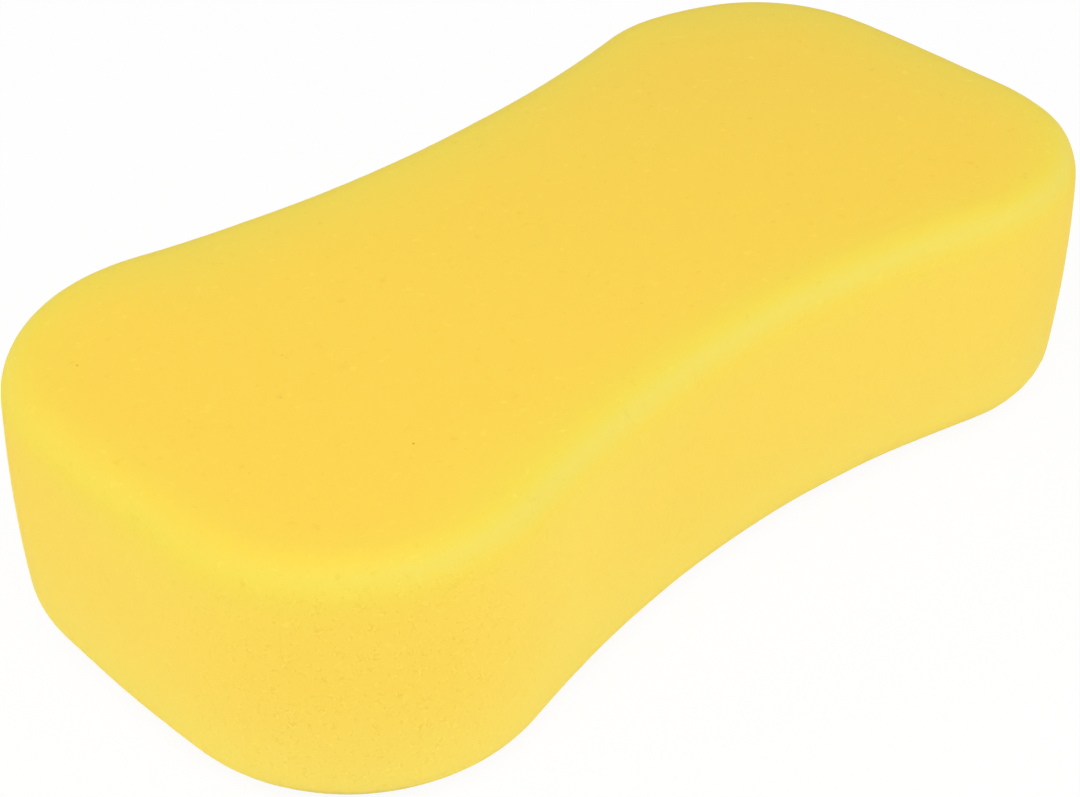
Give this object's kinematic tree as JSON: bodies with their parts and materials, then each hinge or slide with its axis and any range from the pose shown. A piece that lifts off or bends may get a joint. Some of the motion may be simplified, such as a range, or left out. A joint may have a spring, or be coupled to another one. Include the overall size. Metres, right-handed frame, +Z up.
{
  "type": "cleaning sponge",
  "caption": "Soft foam cleaning sponge with an hourglass outline, rounded corners and edges, and a narrower waist to grip while wiping.",
  "frame": {"origin": "middle of the underside, on the surface that the sponge lies on", "axes": "+X along the length, +Y across the width, +Z up through the thickness"},
  "size_m": [0.22, 0.1116, 0.051],
  "materials": {
    "foam": "matte open-cell polyurethane foam, bright yellow"
  },
  "bodies": {
    "root": {"sponge": "foam"}
  },
  "joints": []
}
